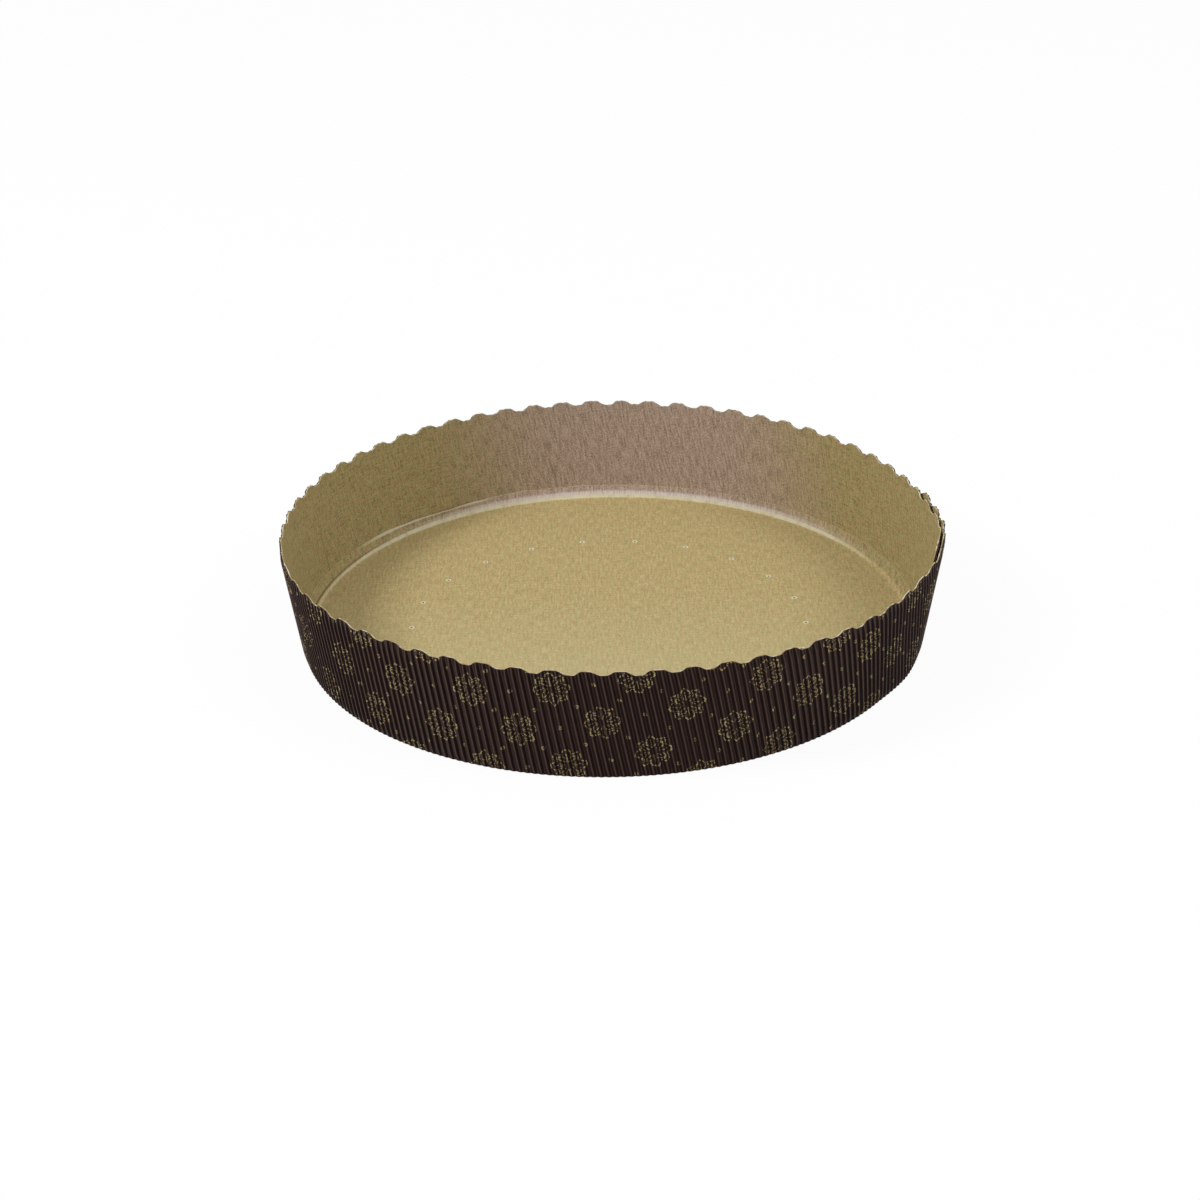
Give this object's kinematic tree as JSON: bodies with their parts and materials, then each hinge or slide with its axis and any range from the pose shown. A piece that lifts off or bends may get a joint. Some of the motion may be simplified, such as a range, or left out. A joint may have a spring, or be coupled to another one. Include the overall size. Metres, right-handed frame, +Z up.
{
  "type": "round paper baking mold",
  "caption": "Low flared round mold of single-face fluted board with a wave-cut rim, a lapped side seam and a glued-in base disc with a ring of pinholes, for baking and serving cakes and pies",
  "frame": {"origin": "on the plane that the mold stands on, below the middle of its whole outline", "axes": "+Z up out of the mouth, +X towards the lapped seam of the wall, the base's flutes run along Y"},
  "size_m": [0.2062, 0.1998, 0.035],
  "materials": {
    "printed_board": "matt fluted dark-brown paper with a pale gold ornament print outside, plain kraft inside",
    "kraft_liner": "matt smooth kraft paper with faint lines of the flutes below"
  },
  "bodies": {
    "root": {"side_wall": "printed_board", "base_disc": "kraft_liner"}
  },
  "joints": []
}
